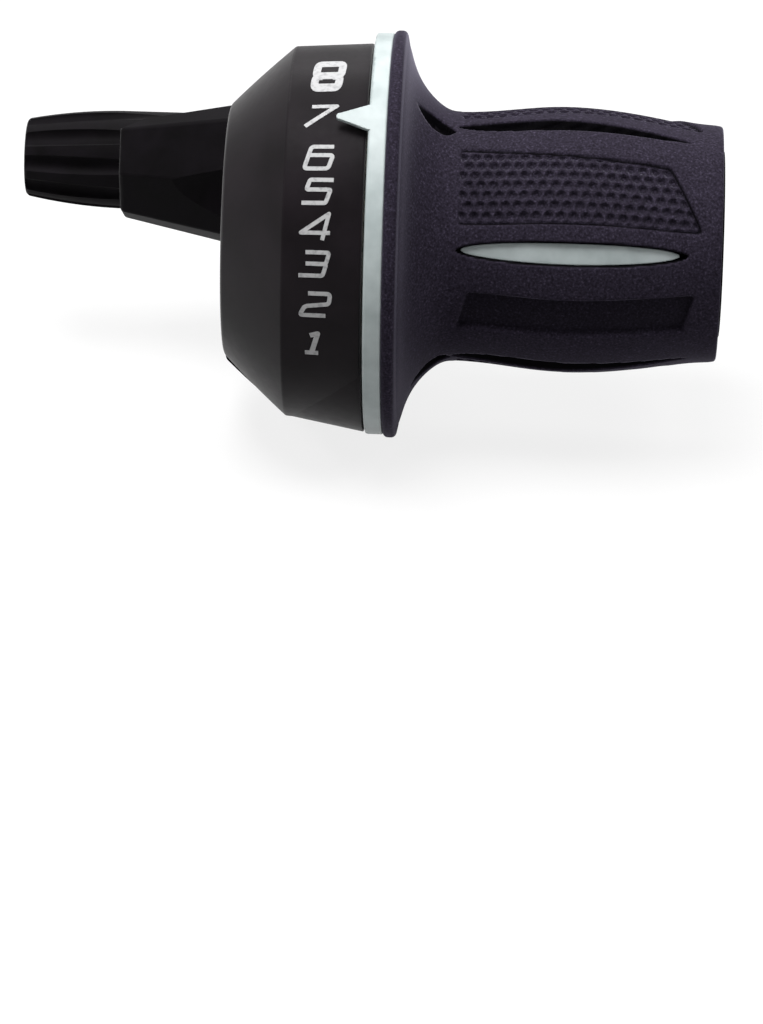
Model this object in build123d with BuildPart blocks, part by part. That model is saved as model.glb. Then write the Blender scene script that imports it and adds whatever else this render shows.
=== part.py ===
from build123d import *
from math import cos, radians, sin
import os

# Twist grip shifter with eight gears for the right-hand end of a bicycle handlebar.
# X runs along the bar, +X outboard. +Y is forward and +Z is up. The origin is on the bar axis, at the
# inboard end of the housing. Lengths are millimetres.
# Angles round the bar are degrees from the rider's side (-Y) upwards over the top (+Z).

# Bar and running fits
bar_diameter = 22.2
bar_clearance = 0.1
running_clearance = 0.08
seat_gap = 0.1

# Mandrel: the inner body with the bar sleeve, clamp boss and cable nose
sleeve_wall = 1.7
collar_wall = 2.1
front_plate_thickness = 1.5
web_thickness = 1.5
rib_count = 6
rib_thickness = 1.4
boss_width = 11.2
boss_proud = 0.9
clamp_x = 4.5
clamp_angle = -90

# Housing cover: cone and numbered band
cover_face_r = 17.4
cover_dome_x = 3.1
cover_dome_r = 20.5
crease_x = 8.9
crease_r = 25.8
mouth_x = 19.75
mouth_r = 26.5
cover_wall = 1.4
cover_end_wall = 2.3
cover_inner_face_r = 17.2
cover_corner = 1.3
swell_angle = -64
swell_shift = 4.0
swell_mouth_r = 23.7
swell_start_r = 21.7
mouth_edge = 0.3
crease_edge = 0.6

# Cable nose, parallel to the bar and in front of it
nose_tip_x = -16.55
nose_sides = 8
nose_tip_apothem = 7.85
nose_root_x = 3.0
nose_root_apothem = 11.95
nose_back_apothem = 8.6
nose_back_shift = 3.2
nose_turn = -11
nose_bar_gap = 0.6
nose_edge = 0.8
relief_angle = 116
relief_tip_height = 4.3
relief_lip = 3.2
relief_height = 5.8
relief_slope = 0.18

# Cable adjuster
barrel_r = 7.0
barrel_end_r = 5.5
barrel_edge = 0.7
barrel_end_x = -30.4
barrel_taper_x = -16.5
barrel_mid_r = 6.6
barrel_inner_x = -5.2
barrel_clearance = 0.25
barrel_seat = 0.3
flute_count = 10
flute_r = 1.4
flute_depth = 0.65
flute_phase = 19.5
flute_stop = 4.0
stem_r = 3.0
stem_end_x = 6.0
thread_clearance = 0.08
casing_r = 3.05
casing_depth = 8.0
cable_hole_r = 1.1
insert_r = 4.3
insert_x = 0.8
insert_length = 6.0
insert_step = 0.2
spring_pocket_r = 5.8
spring_r = 4.4
spring_wire_r = 0.4
spring_turns = 3
adjuster_washer_r = 5.5
adjuster_washer_thickness = 0.8

# Cable guide: a tube that turns the wire from the spool into the nose
guide_r = 1.15
guide_bore_r = 0.8
guide_play = 0.6
guide_wall_gap = 1.55

# Clamp screw and square nut
screw_r = 2.5
screw_tip_gap = 0.1
screw_length = 7.2
screw_chamfer = 0.4
hex_key = 2.5
hex_depth = 2.6
nut_width = 8.0
nut_thickness = 2.7
nut_depth = 14.2
nut_gap = 0.1

# Cable spool and click mechanism
thrust_washer_thickness = 0.5
spool_gap = 0.15
cheek = 1.1
groove_width = 2.2
groove_r = 17.1
cheek_share = 2 / 3  # of the room between the groove's floor and the cable guide
rim_gap = 1.5
rim_end_x = 19.0
hub_r = 18.4
anchor_r = 2.3
anchor_angle = 300
key_count = 3
key_width = 2.6
key_height = 0.9
index_x = 14.4
index_length = 4.2
index_wall = 1.5
notch_r = 1.5
notch_depth = 0.9
leaf_thickness = 0.4
leaf_width = 3.6
leaf_span_angle = 15
leaf_shoulder_angle = 9
leaf_foot_angle = 4.3
leaf_bump = 1.6
leaf_end_lift = 0.03
leaf_shoulder_lift = 0.5
leaf_foot_lift = 0.85

# Gear marks on the band: angles of gears 1 to 8, and the gear that the pointer stands at
gear_angles = [-9.6, 3.8, 16.4, 27.7, 38.2, 48.6, 62.6, 80.9]
rest_gear = 7

# Grip core
core_wall = 1.82
core_end_x = 67.2
ring_x = 20.05
ring_width = 2.5
ring_r = 28.0
ring_depth = 2.6
flange_inset = 0.85
ring_edge = 0.4
ring_back_edge = 0.25
pointer_length = 4.4
pointer_half = 2.05
pointer_tip_half = 0.5
pointer_lift = 1.0
pointer_turn = -2.3

# Rubber sleeve
rubber_rim_r = 28.4
rubber_rim_width = 1.7
rubber_rim_edge = 0.7
rubber_end_edge = 0.5
flare_x = 26.3
flare_r = 21.8
neck_x = 31.4
neck_r = 17.4
flare_lean = 0.25
flare_pull = 0.6
crown_x = 45.0
crown_r = 18.6
taper_x = 60.3
taper_r = 17.45
collar_x = 64.6
collar_r = 16.75
rubber_end_x = 68.6
rubber_end_r = 16.45
rubber_end_lean = 0.05
sleeve_end_x = 68.9
groove_angles = [83.6, 144, 202, 260, 314.6]
groove_halves = [1.3, 1.3, 1.3, 1.3, 1.7]
groove_turns = [-2.65, 0, 0, 0, 0]
groove_start_x = 31.0
groove_end_x = 64.2
groove_depth = 1.5
window_angle = 19.6
window_start_x = 32.3
window_end_x = 63.9
window_half = 1.75
oval_gap = 0.3
oval_start_gap = 0.6
oval_end_gap = 1.1
oval_depth = 0.7
pad_angles = [49.6, 115, 173, 231, 289.2]
pad_half = 5.7
pad_top_half = 6.1
pad_end_half = 4.1
pad_start_x = 33.2
pad_top_end_x = 61.4
pad_low_end_x = 66.2
pad_depth = 0.25
pad_corner = 1.2
panel_angle = -10.0
panel_half = 3.1
panel_start_x = 33.05
panel_end_x = 64.45
panel_slant = 0.75
panel_depth = 0.8
scoop_length = 8.4
scoop_half = 1.7
scoop_depth = 1.2
scoop_x = 27.6
scoop_r = 19.4
scoop_turn = -2.1

# Retaining clip on the outboard end of the sleeve
clip_gap = 0.15
clip_thickness = 0.7
clip_r = 14.3
clip_seat = 0.5
clip_arc = 320

# Radii and places that follow from the sizes above
bore_r = bar_diameter / 2 + bar_clearance
sleeve_r = bore_r + sleeve_wall
collar_outer_r = bore_r + collar_wall
core_bore_r = sleeve_r + running_clearance
core_r = core_bore_r + core_wall
front_plate_x = cover_end_wall + seat_gap
web_end_x = crease_x
web_x = web_end_x - web_thickness
spool_x = web_end_x + thrust_washer_thickness + spool_gap
groove_x = spool_x + cheek
groove_end = groove_x + groove_width
flange_end_x = ring_x + ring_width
rest_angle = gear_angles[rest_gear - 1]
leaf_angle = rest_angle + 180
clip_x = core_end_x + clip_gap
hood_floor_x = barrel_inner_x + barrel_seat
washer_x = barrel_inner_x + seat_gap
spring_start_x = washer_x + adjuster_washer_thickness + seat_gap / 2
spring_pocket_x = insert_x - insert_step
cover_bore_r = min(crease_r, mouth_r) - cover_wall
index_crest_r = cover_bore_r - index_wall
nose_offset = cover_bore_r - guide_wall_gap - guide_r
cheek_r = groove_r + cheek_share * (nose_offset - guide_r - groove_r)
rim_r = index_crest_r - rim_gap
front_plate_r = cover_inner_face_r - seat_gap
inner_cone_slope = (cover_bore_r - cover_inner_face_r) / (crease_x - cover_end_wall)
web_r = cover_inner_face_r + inner_cone_slope * (web_x - cover_end_wall) - 2 * seat_gap
spool_mid_x = (groove_x + groove_end) / 2
guide_x = insert_x + insert_length
guide_bend_r = spool_mid_x - guide_x


def outward(angle):
    return Vector(0, -cos(radians(angle)), sin(radians(angle)))


def radial_plane(angle, x=0.0, height=0.0):
    # a plane that faces away from the bar axis, its own x along the bar
    return Plane(origin=Vector(x, 0, 0) + outward(angle) * height, x_dir=(1, 0, 0), z_dir=outward(angle))


def ring_profile(x0, x1, r0, r1):
    with BuildSketch(Plane.XY) as profile:
        with Locations(((x0 + x1) / 2, (r0 + r1) / 2)):
            Rectangle(x1 - x0, r1 - r0)
    return profile.sketch


def disc(x, y, r):
    with BuildSketch(Plane.YZ.offset(x)) as profile:
        with Locations((y, 0)):
            Circle(r)
    return profile.sketch


def lens(plane, x0, x1, half):
    # a long leaf outline between two pointed ends
    middle = (x0 + x1) / 2
    with BuildSketch(plane) as outline:
        with BuildLine():
            ThreePointArc((x0, 0), (middle, half), (x1, 0))
            ThreePointArc((x1, 0), (middle, -half), (x0, 0))
        make_face()
    return outline.sketch


def oval_face(plane, x0, x1, half):
    with BuildSketch(plane) as outline:
        with Locations(((x0 + x1) / 2, 0)):
            Ellipse((x1 - x0) / 2, half)
    return outline.sketch


def rubber_outline(lowered):
    # the sleeve's outer line from the rim to the free end, lowered towards the bar
    with BuildLine(mode=Mode.PRIVATE) as line:
        flare = Spline(
            (flange_end_x + rubber_rim_width, rubber_rim_r - lowered),
            (flare_x, flare_r - lowered),
            (neck_x, neck_r - lowered),
            tangents=[(flare_lean, -1), (1, 0)],
            tangent_scalars=[flare_pull, flare_pull],
        )
        Spline(
            flare @ 1,
            (crown_x, crown_r - lowered),
            (taper_x, taper_r - lowered),
            (collar_x, collar_r - lowered),
            (rubber_end_x, rubber_end_r - lowered),
            tangents=[(1, 0), (1, -rubber_end_lean)],
        )
    return line.line


def above_rubber(depth):
    # everything further out than the sleeve's surface less the depth, over the grip's length
    top = 2 * rubber_rim_r
    with BuildPart() as shell:
        with BuildSketch(Plane.XY):
            with BuildLine():
                edge = add(rubber_outline(depth))
                start = edge.edges().sort_by(Axis.X)[0] @ 0
                end = edge.edges().sort_by(Axis.X)[-1] @ 1
                Polyline(end, (end.X, top), (start.X, top), start)
            make_face()
        revolve(axis=Axis.X)
    return shell.part


def nose_solid(extra):
    # eight-sided hood that narrows towards the adjuster, flat on top, its back sloped down to the housing
    relief_axis = outward(relief_angle)
    relief_plane = Plane(
        origin=(nose_tip_x, nose_offset, 0), x_dir=(1, 0, 0), z_dir=Vector(1, 0, 0).cross(relief_axis)
    )
    relief_length = web_x - nose_tip_x
    relief_low = relief_height + extra
    with BuildPart() as solid:
        with BuildSketch(Plane.YZ.offset(web_x)):
            with Locations((nose_offset - nose_back_shift, 0)):
                RegularPolygon(nose_back_apothem + extra, nose_sides, major_radius=False, rotation=nose_turn)
        with BuildSketch(Plane.YZ.offset(nose_root_x)):
            with Locations((nose_offset, 0)):
                RegularPolygon(nose_root_apothem + extra, nose_sides, major_radius=False, rotation=nose_turn)
        with BuildSketch(Plane.YZ.offset(nose_tip_x)):
            with Locations((nose_offset, 0)):
                RegularPolygon(nose_tip_apothem + extra, nose_sides, major_radius=False, rotation=nose_turn)
        loft(ruled=True)
        long_edges = solid.edges().filter_by_position(Axis.X, nose_tip_x + nose_edge, nose_root_x - nose_edge)
        fillet(long_edges + solid.faces().sort_by(Axis.X)[0].edges(), nose_edge)
        with BuildSketch(relief_plane):
            with BuildLine():
                Polyline(
                    (0, relief_tip_height + extra),
                    (relief_lip, relief_low),
                    (relief_length, relief_low + relief_slope * (relief_length - relief_lip)),
                    (relief_length, 2 * nose_root_apothem),
                    (-nose_edge, 2 * nose_root_apothem),
                    (-nose_edge, relief_tip_height + extra),
                    close=True,
                )
            make_face()
        extrude(amount=2 * nose_root_apothem, both=True, mode=Mode.SUBTRACT)
    return solid.part


def cover_outline(proud):
    # half section of the cone and band, pushed out from the bar
    with BuildSketch(Plane.XY) as section:
        with BuildLine():
            Line((0, 0), (0, cover_face_r + proud))
            ThreePointArc(
                (0, cover_face_r + proud),
                (cover_dome_x, cover_dome_r + proud),
                (crease_x, crease_r + proud),
            )
            Line((crease_x, crease_r + proud), (mouth_x, mouth_r + proud))
            Line((mouth_x, mouth_r + proud), (mouth_x, 0))
            Line((mouth_x, 0), (0, 0))
        make_face()
        fillet(section.vertices().sort_by(Axis.X)[:2].sort_by(Axis.Y)[-1], cover_corner)
        fillet(section.vertices().group_by(Axis.X)[-1].sort_by(Axis.Y)[-1], mouth_edge)
        fillet(section.vertices().sort_by_distance((crease_x, crease_r + proud, 0))[0], crease_edge)
    return section.sketch


def boss_box(extra):
    with BuildPart() as box:
        with BuildSketch(radial_plane(clamp_angle)):
            with Locations((web_end_x / 2, 0)):
                Rectangle(web_end_x + 2 * extra, boss_width + 2 * extra)
        extrude(amount=2 * crease_r)
    return box.part


# Mandrel
with BuildPart() as hood:
    add(nose_solid(0))
    extrude(disc(nose_tip_x, nose_offset, barrel_r + barrel_clearance), amount=hood_floor_x - nose_tip_x,
            mode=Mode.SUBTRACT)
    extrude(disc(nose_tip_x, 0, bore_r + nose_bar_gap), amount=-nose_tip_x, mode=Mode.SUBTRACT)

with BuildPart() as boss:
    add(boss_box(0))
    revolve(cover_outline(boss_proud), axis=Axis.X, mode=Mode.INTERSECT)

with BuildPart() as mandrel:
    revolve(ring_profile(0, sleeve_end_x, bore_r, sleeve_r), axis=Axis.X)
    revolve(ring_profile(0, front_plate_x, bore_r, collar_outer_r), axis=Axis.X)
    revolve(ring_profile(front_plate_x, front_plate_x + front_plate_thickness, bore_r, front_plate_r),
            axis=Axis.X)
    revolve(ring_profile(web_x, web_end_x, bore_r, web_r), axis=Axis.X)
    for step in range(rib_count):
        rib_angle = clamp_angle + 360 / rib_count * (step + 0.5)
        with BuildSketch(radial_plane(rib_angle, height=bore_r + sleeve_wall / 2)):
            with Locations(((front_plate_x + web_end_x) / 2, 0)):
                Rectangle(web_end_x - front_plate_x, rib_thickness)
        extrude(amount=front_plate_r - bore_r - sleeve_wall / 2)
    add(boss.part)
    add(hood.part)
    # bar bore
    extrude(disc(0, 0, bore_r), amount=sleeve_end_x, mode=Mode.SUBTRACT)
    # clamp screw hole and the slot for its nut, open at the inboard end
    with BuildSketch(radial_plane(clamp_angle, clamp_x)):
        Circle(screw_r + thread_clearance)
    extrude(amount=2 * crease_r, mode=Mode.SUBTRACT)
    with BuildSketch(radial_plane(clamp_angle, height=nut_depth - nut_gap)):
        Rectangle(2 * clamp_x + nut_width + 2 * nut_gap, nut_width + 2 * nut_gap)
    extrude(amount=nut_thickness + 2 * nut_gap, mode=Mode.SUBTRACT)
    # spring pocket, seat of the threaded insert, and the hole for the cable guide
    extrude(disc(hood_floor_x, nose_offset, spring_pocket_r), amount=spring_pocket_x - hood_floor_x,
            mode=Mode.SUBTRACT)
    extrude(disc(spring_pocket_x, nose_offset, insert_r), amount=insert_x + insert_length - spring_pocket_x,
            mode=Mode.SUBTRACT)
    extrude(disc(guide_x, nose_offset, guide_r + guide_play), amount=web_end_x - guide_x, mode=Mode.SUBTRACT)
    # groove for the retaining clip
    revolve(ring_profile(clip_x, clip_x + clip_thickness, sleeve_r - clip_seat, clip_r), axis=Axis.X,
            mode=Mode.SUBTRACT)

# Housing cover: a cup over the mandrel, swollen underneath, with ways out for the nose and the boss
with BuildPart() as housing_cover:
    revolve(cover_outline(0), axis=Axis.X)
    swell = outward(swell_angle) * swell_shift
    with BuildSketch(Plane.YZ.offset(crease_x)):
        with Locations((swell.Y, swell.Z)):
            Circle(swell_start_r)
    with BuildSketch(Plane.YZ.offset(mouth_x)):
        with Locations((swell.Y, swell.Z)):
            Circle(swell_mouth_r)
    loft()
    with BuildSketch(Plane.XY):
        with BuildLine():
            Polyline(
                (cover_end_wall, 0),
                (cover_end_wall, cover_inner_face_r),
                (crease_x, cover_bore_r),
                (mouth_x, cover_bore_r),
                (mouth_x, 0),
                close=True,
            )
        make_face()
    revolve(axis=Axis.X, mode=Mode.SUBTRACT)
    extrude(disc(0, 0, collar_outer_r + seat_gap), amount=cover_end_wall, mode=Mode.SUBTRACT)
    add(nose_solid(seat_gap), mode=Mode.SUBTRACT)
    add(boss_box(seat_gap), mode=Mode.SUBTRACT)

# Index ring, pressed into the cover, with a notch for each gear
with BuildPart() as index_ring:
    revolve(ring_profile(index_x, index_x + index_length, index_crest_r, cover_bore_r), axis=Axis.X)
    for gear_angle in gear_angles:
        notch_way = outward(leaf_angle + gear_angle - rest_angle) * (index_crest_r + notch_depth - notch_r)
        with BuildSketch(Plane.YZ.offset(index_x)):
            with Locations((notch_way.Y, notch_way.Z)):
                Circle(notch_r)
        extrude(amount=index_length, mode=Mode.SUBTRACT)

# Clamp screw with a hex socket, and its square nut
screw_tip = bore_r + screw_tip_gap
with BuildPart() as clamp_screw:
    with BuildSketch(radial_plane(clamp_angle, clamp_x, screw_tip)):
        Circle(screw_r)
    extrude(amount=screw_length)
    chamfer(clamp_screw.edges().filter_by(GeomType.CIRCLE), screw_chamfer)
    with BuildSketch(radial_plane(clamp_angle, clamp_x, screw_tip + screw_length - hex_depth)):
        RegularPolygon(hex_key / 2, 6, major_radius=False)
    extrude(amount=hex_depth, mode=Mode.SUBTRACT)

with BuildPart() as clamp_nut:
    with BuildSketch(radial_plane(clamp_angle, clamp_x, nut_depth)):
        Rectangle(nut_width, nut_width)
        Circle(screw_r + thread_clearance, mode=Mode.SUBTRACT)
    extrude(amount=nut_thickness)

# Retaining clip: an open ring of flat spring steel
with BuildPart() as retaining_clip:
    revolve(
        ring_profile(clip_x, clip_x + clip_thickness, sleeve_r - clip_seat, clip_r), axis=Axis.X,
        revolution_arc=clip_arc
    )

# Cable guide
with BuildPart() as cable_guide:
    with BuildLine() as guide_path:
        TangentArc(
            (guide_x, nose_offset, 0),
            (guide_x + guide_bend_r, nose_offset, -guide_bend_r),
            tangent=(1, 0, 0),
        )
    with BuildSketch(Plane.YZ.offset(guide_x)):
        with Locations((nose_offset, 0)):
            Circle(guide_r)
            Circle(guide_bore_r, mode=Mode.SUBTRACT)
    sweep(path=guide_path.line)

# Threaded insert of the adjuster
with BuildPart() as adjuster_insert:
    extrude(disc(insert_x, nose_offset, insert_r), amount=insert_length)
    extrude(disc(insert_x, nose_offset, stem_r + thread_clearance), amount=insert_length, mode=Mode.SUBTRACT)

# Washer between the web and the spool
with BuildPart() as thrust_washer:
    revolve(
        ring_profile(web_end_x, web_end_x + thrust_washer_thickness, sleeve_r + running_clearance, cheek_r),
        axis=Axis.X
    )

# Cable spool, keyed to the grip core
with BuildPart() as cable_spool:
    with BuildSketch(Plane.XY):
        with BuildLine():
            Polyline(
                (spool_x, core_r),
                (spool_x, cheek_r),
                (groove_x, cheek_r),
                (groove_x, groove_r),
                (groove_end, groove_r),
                (groove_end, cheek_r),
                (groove_end + cheek, cheek_r),
                (groove_end + cheek, rim_r),
                (rim_end_x, rim_r),
                (rim_end_x, hub_r),
                (ring_x + flange_inset, hub_r),
                (ring_x + flange_inset, core_r),
                close=True,
            )
        make_face()
    revolve(axis=Axis.X)
    with BuildSketch(radial_plane(anchor_angle, spool_mid_x, groove_r - cheek)):
        Circle(anchor_r)
    extrude(amount=rim_r, mode=Mode.SUBTRACT)
    for step in range(key_count):
        with BuildSketch(radial_plane(rest_angle + 360 / key_count * step)):
            with Locations(((spool_x + ring_x + flange_inset) / 2, 0)):
                Rectangle(ring_x + flange_inset - spool_x, key_width + seat_gap)
        extrude(amount=core_r + key_height + seat_gap / 2, mode=Mode.SUBTRACT)

# Detent leaf: a bowed strip on the spool's rim, its bump in the notch of the gear
def leaf_point(angle, height):
    way = outward(leaf_angle + angle) * (rim_r + height)
    return (way.Y, way.Z)


half_leaf = [
    (leaf_span_angle, leaf_end_lift),
    (leaf_shoulder_angle, leaf_shoulder_lift),
    (leaf_foot_angle, leaf_foot_lift),
]
leaf_line = [(-angle, height) for angle, height in half_leaf] + [(0, leaf_bump)] + half_leaf[::-1]
with BuildPart() as detent_spring:
    with BuildSketch(Plane.YZ.offset(index_x + (index_length - leaf_width) / 2)):
        with BuildLine():
            low_line = Spline(*[leaf_point(angle, height) for angle, height in leaf_line])
            high_line = Spline(*[leaf_point(angle, height + leaf_thickness) for angle, height in leaf_line])
            Line(low_line @ 0, high_line @ 0)
            Line(low_line @ 1, high_line @ 1)
        make_face()
    extrude(amount=leaf_width)

# Grip core: tube, flange with the visible ring, pointer, spool keys and the oval seen through the rubber
with BuildPart() as pointer:
    with BuildSketch(radial_plane(rest_angle + pointer_turn)):
        with BuildLine():
            base_x = ring_x + ring_width / 2
            tip_x = ring_x - pointer_length
            shoulder_x = tip_x + pointer_tip_half
            Polyline(
                (shoulder_x, -pointer_tip_half),
                (ring_x, -pointer_half),
                (base_x, -pointer_half),
                (base_x, pointer_half),
                (ring_x, pointer_half),
                (shoulder_x, pointer_tip_half),
            )
            ThreePointArc((shoulder_x, pointer_tip_half), (tip_x, 0), (shoulder_x, -pointer_tip_half))
        make_face()
    extrude(amount=2 * ring_r)
    revolve(ring_profile(tip_x - ring_width, base_x + ring_width, mouth_r + pointer_lift, ring_r), axis=Axis.X,
            mode=Mode.INTERSECT)

with BuildPart() as oval:
    extrude(oval_face(radial_plane(window_angle), window_start_x + oval_start_gap, window_end_x - oval_end_gap,
                      window_half - oval_gap), amount=rubber_rim_r)
    add(above_rubber(oval_depth), mode=Mode.SUBTRACT)
    extrude(disc(0, 0, core_r - core_wall / 2), amount=2 * rubber_end_x, mode=Mode.SUBTRACT)

with BuildPart() as grip_core:
    revolve(ring_profile(spool_x, core_end_x, core_bore_r, core_r), axis=Axis.X)
    revolve(ring_profile(ring_x + flange_inset, flange_end_x, core_bore_r, ring_r - ring_depth), axis=Axis.X)
    with BuildSketch(Plane.XY) as ring_section:
        add(ring_profile(ring_x, flange_end_x, ring_r - ring_depth, ring_r))
        fillet(ring_section.vertices().group_by(Axis.Y)[-1].sort_by(Axis.X)[0], ring_edge)
        fillet(ring_section.vertices().group_by(Axis.Y)[-1].sort_by(Axis.X)[-1], ring_back_edge)
    revolve(axis=Axis.X)
    add(pointer.part)
    add(oval.part)
    for step in range(key_count):
        with BuildSketch(radial_plane(rest_angle + 360 / key_count * step, height=core_r - core_wall / 2)):
            with Locations(((spool_x + ring_x + flange_inset) / 2, 0)):
                Rectangle(ring_x + flange_inset - spool_x, key_width)
        extrude(amount=key_height + core_wall / 2)

# Rubber sleeve with its pads, panel, grooves and window
pad_region = above_rubber(pad_depth)
panel_region = above_rubber(panel_depth)
groove_region = above_rubber(groove_depth)

with BuildPart() as pads:
    for pad_angle in pad_angles:
        with BuildSketch(radial_plane(pad_angle)) as pad_outline:
            with BuildLine():
                Polyline(
                    (pad_start_x, -pad_half),
                    (pad_low_end_x, -pad_half),
                    (pad_top_end_x, pad_end_half),
                    (pad_start_x, pad_top_half),
                    close=True,
                )
            make_face()
            fillet(pad_outline.vertices(), pad_corner)
        extrude(amount=2 * crown_r)
    add(pad_region, mode=Mode.INTERSECT)

with BuildPart() as panel:
    with BuildSketch(radial_plane(panel_angle)) as panel_outline:
        with BuildLine():
            Polyline(
                (panel_start_x - panel_slant, -panel_half),
                (panel_end_x - panel_slant, -panel_half),
                (panel_end_x + panel_slant, panel_half),
                (panel_start_x + panel_slant, panel_half),
                close=True,
            )
        make_face()
        fillet(panel_outline.vertices(), pad_corner)
    extrude(amount=2 * crown_r)
    add(panel_region, mode=Mode.INTERSECT)

with BuildPart() as grooves:
    half_length = (groove_end_x - groove_start_x) / 2
    for groove_angle, groove_half, groove_turn in zip(groove_angles, groove_halves, groove_turns):
        groove_plane = radial_plane(groove_angle, groove_start_x + half_length).rotated((0, 0, groove_turn))
        extrude(lens(groove_plane, -half_length, half_length, groove_half), amount=2 * crown_r)
    add(groove_region, mode=Mode.INTERSECT)

with BuildPart() as rubber_grip:
    with BuildSketch(Plane.XY) as rubber_section:
        with BuildLine():
            outer = add(rubber_outline(0))
            outer_start = outer.edges().sort_by(Axis.X)[0] @ 0
            outer_end = outer.edges().sort_by(Axis.X)[-1] @ 1
            Polyline(
                outer_start,
                (flange_end_x, rubber_rim_r),
                (flange_end_x, core_r),
                (rubber_end_x, core_r),
                outer_end,
            )
        make_face()
        fillet(rubber_section.vertices().group_by(Axis.Y)[-1], rubber_rim_edge)
        fillet(rubber_section.vertices().group_by(Axis.X)[-1].sort_by(Axis.Y)[-1], rubber_end_edge)
    revolve(axis=Axis.X)
    add(pads.part, mode=Mode.SUBTRACT)
    add(panel.part, mode=Mode.SUBTRACT)
    add(grooves.part, mode=Mode.SUBTRACT)
    extrude(oval_face(radial_plane(window_angle), window_start_x, window_end_x, window_half),
            amount=2 * crown_r, mode=Mode.SUBTRACT)
    for groove_angle in groove_angles:
        scoop_way = outward(groove_angle + scoop_turn)
        scoop_plane = Plane(
            origin=Vector(scoop_x, 0, 0) + scoop_way * scoop_r,
            x_dir=Vector(neck_x - flare_x, 0, 0) + scoop_way * (neck_r - flare_r),
            z_dir=Vector(flare_r - neck_r, 0, 0) + scoop_way * (neck_x - flare_x),
        )
        extrude(lens(scoop_plane.offset(-scoop_depth), -scoop_length / 2, scoop_length / 2, scoop_half),
                amount=scoop_length, mode=Mode.SUBTRACT)

# Adjuster: washer and spring that follow the barrel, and the barrel itself
with BuildPart() as adjuster_washer:
    extrude(disc(washer_x, nose_offset, adjuster_washer_r), amount=adjuster_washer_thickness)
    extrude(disc(washer_x, nose_offset, stem_r + seat_gap), amount=adjuster_washer_thickness,
            mode=Mode.SUBTRACT)

spring_length = spring_pocket_x - spring_start_x - 2 * spring_wire_r - seat_gap
with BuildPart() as adjuster_spring:
    with BuildLine() as coil:
        Helix(
            pitch=spring_length / spring_turns,
            height=spring_length,
            radius=spring_r,
            center=(spring_start_x + spring_wire_r, nose_offset, 0),
            direction=(1, 0, 0),
        )
    with BuildSketch(Plane(origin=coil.line @ 0, z_dir=coil.line % 0)):
        Circle(spring_wire_r)
    sweep(path=coil.line, is_frenet=True)

with BuildPart() as barrel_adjuster:
    with BuildSketch(Plane.XY) as barrel_profile:
        with BuildLine():
            ThreePointArc(
                (barrel_end_x, nose_offset + barrel_end_r),
                ((barrel_end_x + barrel_taper_x) / 2, nose_offset + barrel_mid_r),
                (barrel_taper_x, nose_offset + barrel_r),
            )
            Polyline(
                (barrel_taper_x, nose_offset + barrel_r),
                (barrel_inner_x, nose_offset + barrel_r),
                (barrel_inner_x, nose_offset + stem_r),
                (stem_end_x, nose_offset + stem_r),
                (stem_end_x, nose_offset + cable_hole_r),
                (barrel_end_x + casing_depth, nose_offset + cable_hole_r),
                (barrel_end_x + casing_depth, nose_offset + casing_r),
                (barrel_end_x, nose_offset + casing_r),
                (barrel_end_x, nose_offset + barrel_end_r),
            )
        make_face()
        fillet(barrel_profile.vertices().group_by(Axis.X)[0].sort_by(Axis.Y)[-1], barrel_edge)
    revolve(axis=Axis((0, nose_offset, 0), (1, 0, 0)))
    for step in range(flute_count):
        turn = radians(flute_phase + 360 / flute_count * step)
        way = Vector(0, cos(turn), sin(turn))
        lift = flute_r - flute_depth
        flute_start = Vector(barrel_end_x, nose_offset, 0) + way * (barrel_end_r + lift)
        flute_end = Vector(barrel_taper_x, nose_offset, 0) + way * (barrel_r + lift)
        with BuildSketch(Plane(origin=flute_start, z_dir=flute_end - flute_start)):
            Circle(flute_r)
        extrude(amount=barrel_inner_x - barrel_end_x - flute_stop, mode=Mode.SUBTRACT)

pieces = {
    "mandrel": mandrel,
    "housing_cover": housing_cover,
    "index_ring": index_ring,
    "clamp_screw": clamp_screw,
    "clamp_nut": clamp_nut,
    "retaining_clip": retaining_clip,
    "cable_guide": cable_guide,
    "adjuster_insert": adjuster_insert,
    "thrust_washer": thrust_washer,
    "grip_core": grip_core,
    "cable_spool": cable_spool,
    "detent_spring": detent_spring,
    "rubber_grip": rubber_grip,
    "adjuster_washer": adjuster_washer,
    "adjuster_spring": adjuster_spring,
    "barrel_adjuster": barrel_adjuster,
}
os.makedirs("parts", exist_ok=True)
for name, builder in pieces.items():
    builder.part.label = name
    export_step(builder.part, "parts/" + name + ".step")
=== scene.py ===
# Right-hand twist grip shifter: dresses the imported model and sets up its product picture
import math
import bpy
from mathutils import Matrix, Vector
from mathutils.bvhtree import BVHTree


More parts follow.
